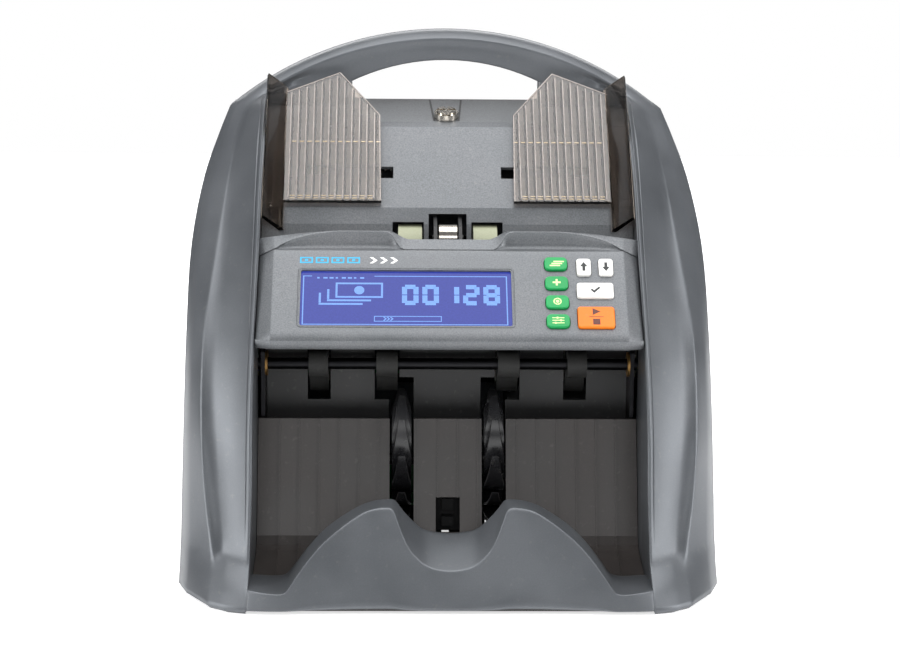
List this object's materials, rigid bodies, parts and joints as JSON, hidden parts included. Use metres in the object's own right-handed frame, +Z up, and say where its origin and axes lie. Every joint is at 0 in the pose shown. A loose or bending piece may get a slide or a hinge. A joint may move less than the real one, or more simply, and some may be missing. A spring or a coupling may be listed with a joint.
{
  "type": "banknote counting machine",
  "caption": "Table-top banknote counter with a top hopper and sliding guides, a sloping display and key panel, stacking wheels over a front pocket, and an arched carrying handle.",
  "frame": {"origin": "middle of the footprint, on the surface that the feet stand on", "axes": "+X to the right as the operator sees it, +Y from the operator to the back, +Z up"},
  "size_m": [0.27, 0.245, 0.267],
  "materials": {
    "case_grey": "moulded metallic dark grey, satin",
    "panel_grey": "moulded metallic dark grey, fine flake",
    "tray_black": "moulded brown-black, satin",
    "black_plastic": "moulded black",
    "rocker_black": "polished black",
    "smoke_clear": "smoked clear polycarbonate",
    "lens_clear": "clear acrylic window",
    "white_acetal": "white acetal",
    "wheel_black": "moulded black, glossy",
    "roller_rubber": "pale olive rubber, ground",
    "foot_rubber": "black rubber",
    "belt_rubber": "black belt rubber",
    "frame_steel": "zinc plated sheet steel",
    "shaft_steel": "ground steel",
    "nickel": "nickel plated",
    "bronze": "sintered bronze",
    "screw_zinc": "zinc plated",
    "motor_can": "black painted steel",
    "board_green": "solder resist green",
    "screen_blue": "liquid crystal display, blue backlight",
    "key_green": "silk printed silicone rubber",
    "key_white": "silk printed silicone rubber",
    "key_orange": "silk printed silicone rubber"
  },
  "bodies": {
    "chassis": {"base_plate": "black_plastic", "rubber_feet": "foot_rubber", "front_frame": "case_grey", "rear_cover": "case_grey", "side_frame_left": "frame_steel", "side_frame_right": "frame_steel", "bearings": "bronze", "stacker_tray": "tray_black", "note_sensors": "black_plastic", "hopper_plate": "panel_grey", "guide_channel": "black_plastic", "adjuster_block": "black_plastic", "pickup_bracket": "black_plastic", "cross_bar": "frame_steel", "drive_belts": "belt_rubber", "motor": "motor_can", "power_supply": "board_green", "main_board": "board_green", "power_inlet": "black_plastic", "switch_body": "black_plastic", "data_socket": "black_plastic", "panel_housing": "panel_grey", "panel_back": "black_plastic", "display_window": "lens_clear", "display_module": "screen_blue", "keypad_board": "board_green", "note_chute": "tray_black", "case_screws": "screw_zinc"},
    "left_guide": {"guide_left": "smoke_clear", "rack_left": "white_acetal"},
    "right_guide": {"guide_right": "smoke_clear", "rack_right": "white_acetal"},
    "pinion": {"guide_pinion": "white_acetal"},
    "adjuster": {"adjusting_screw": "nickel"},
    "feed": {"feed_shaft": "shaft_steel", "feed_rollers": "roller_rubber", "feed_pulley": "white_acetal"},
    "retard": {"retard_shaft": "shaft_steel", "retard_rollers": "roller_rubber"},
    "pickup": {"pickup_roller": "nickel"},
    "transport": {"transport_shaft": "shaft_steel", "transport_rollers": "roller_rubber", "transport_pulleys": "white_acetal"},
    "pinch": {"pinch_shaft": "shaft_steel", "pinch_rollers": "roller_rubber"},
    "stacker": {"stacker_shaft": "shaft_steel", "stacker_wheel_left": "wheel_black", "stacker_wheel_right": "wheel_black", "stacker_pulley": "white_acetal"},
    "rotor": {"motor_rotor": "shaft_steel"},
    "rocker": {"switch_rocker": "rocker_black"},
    "key_batch_cap": {"key_batch": "key_green"},
    "key_add_cap": {"key_add": "key_green"},
    "key_manual_cap": {"key_manual": "key_green"},
    "key_mode_cap": {"key_mode": "key_green"},
    "key_up_cap": {"key_up": "key_white"},
    "key_down_cap": {"key_down": "key_white"},
    "key_set_cap": {"key_set": "key_white"},
    "key_start_cap": {"key_start": "key_orange"}
  },
  "joints": [
    {"name": "left_guide_slide", "type": "slide", "parent": "chassis", "child": "left_guide", "axis": [1, 0, 0], "range_m": [0, 0.035]},
    {"name": "right_guide_slide", "type": "slide", "parent": "chassis", "child": "right_guide", "axis": [-1, 0, 0], "range_m": [0, 0.035]},
    {"name": "pinion_spin", "type": "hinge", "parent": "chassis", "child": "pinion", "pos_m": [0, 0.03585, 0.19468], "axis": [0, -0.7249, 0.6889], "range_deg": [-251, 0.2]},
    {"name": "adjuster_turn", "type": "hinge", "parent": "chassis", "child": "adjuster", "pos_m": [0, 0.06863, 0.22084], "axis": [0, -0.258, 0.9661], "range_deg": [-180, 180]},
    {"name": "feed_spin", "type": "hinge", "parent": "chassis", "child": "feed", "pos_m": [0, 0.02, 0.152], "axis": [1, 0, 0], "continuous": true},
    {"name": "retard_spin", "type": "hinge", "parent": "chassis", "child": "retard", "pos_m": [0, -0.0046, 0.146], "axis": [1, 0, 0], "continuous": true},
    {"name": "pickup_spin", "type": "hinge", "parent": "chassis", "child": "pickup", "pos_m": [0, 0.006, 0.16399], "axis": [1, 0, 0], "continuous": true},
    {"name": "transport_spin", "type": "hinge", "parent": "chassis", "child": "transport", "pos_m": [0, 0.0133, 0.101], "axis": [1, 0, 0], "continuous": true},
    {"name": "pinch_spin", "type": "hinge", "parent": "chassis", "child": "pinch", "pos_m": [0, -0.014, 0.101], "axis": [1, 0, 0], "continuous": true},
    {"name": "stacker_spin", "type": "hinge", "parent": "chassis", "child": "stacker", "pos_m": [0, -0.014, 0.05], "axis": [1, 0, 0], "continuous": true},
    {"name": "motor_spin", "type": "hinge", "parent": "chassis", "child": "rotor", "pos_m": [0.07, 0.062, 0.062], "axis": [1, 0, 0], "continuous": true},
    {"name": "power_rock", "type": "hinge", "parent": "chassis", "child": "rocker", "pos_m": [0.048, 0.117, 0.032], "axis": [1, 0, 0], "range_deg": [-18, 0]},
    {"name": "key_batch_press", "type": "slide", "parent": "chassis", "child": "key_batch_cap", "axis": [0, 0.698, -0.7161], "range_m": [0, 0.001], "stiffness_N_per_m": 300},
    {"name": "key_add_press", "type": "slide", "parent": "chassis", "child": "key_add_cap", "axis": [0, 0.698, -0.7161], "range_m": [0, 0.001], "stiffness_N_per_m": 300},
    {"name": "key_manual_press", "type": "slide", "parent": "chassis", "child": "key_manual_cap", "axis": [0, 0.698, -0.7161], "range_m": [0, 0.001], "stiffness_N_per_m": 300},
    {"name": "key_mode_press", "type": "slide", "parent": "chassis", "child": "key_mode_cap", "axis": [0, 0.698, -0.7161], "range_m": [0, 0.001], "stiffness_N_per_m": 300},
    {"name": "key_up_press", "type": "slide", "parent": "chassis", "child": "key_up_cap", "axis": [0, 0.698, -0.7161], "range_m": [0, 0.001], "stiffness_N_per_m": 300},
    {"name": "key_down_press", "type": "slide", "parent": "chassis", "child": "key_down_cap", "axis": [0, 0.698, -0.7161], "range_m": [0, 0.001], "stiffness_N_per_m": 300},
    {"name": "key_set_press", "type": "slide", "parent": "chassis", "child": "key_set_cap", "axis": [0, 0.698, -0.7161], "range_m": [0, 0.001], "stiffness_N_per_m": 300},
    {"name": "key_start_press", "type": "slide", "parent": "chassis", "child": "key_start_cap", "axis": [0, 0.698, -0.7161], "range_m": [0, 0.001], "stiffness_N_per_m": 300}
  ],
  "couplings": [
    {"joint": "right_guide_slide", "follows": "left_guide_slide", "ratio": 1},
    {"joint": "pinion_spin", "follows": "left_guide_slide", "rad_per_m": -125},
    {"joint": "feed_spin", "follows": "transport_spin", "ratio": 1.2222},
    {"joint": "stacker_spin", "follows": "transport_spin", "ratio": 1},
    {"joint": "motor_spin", "follows": "transport_spin", "ratio": 1.5714}
  ]
}
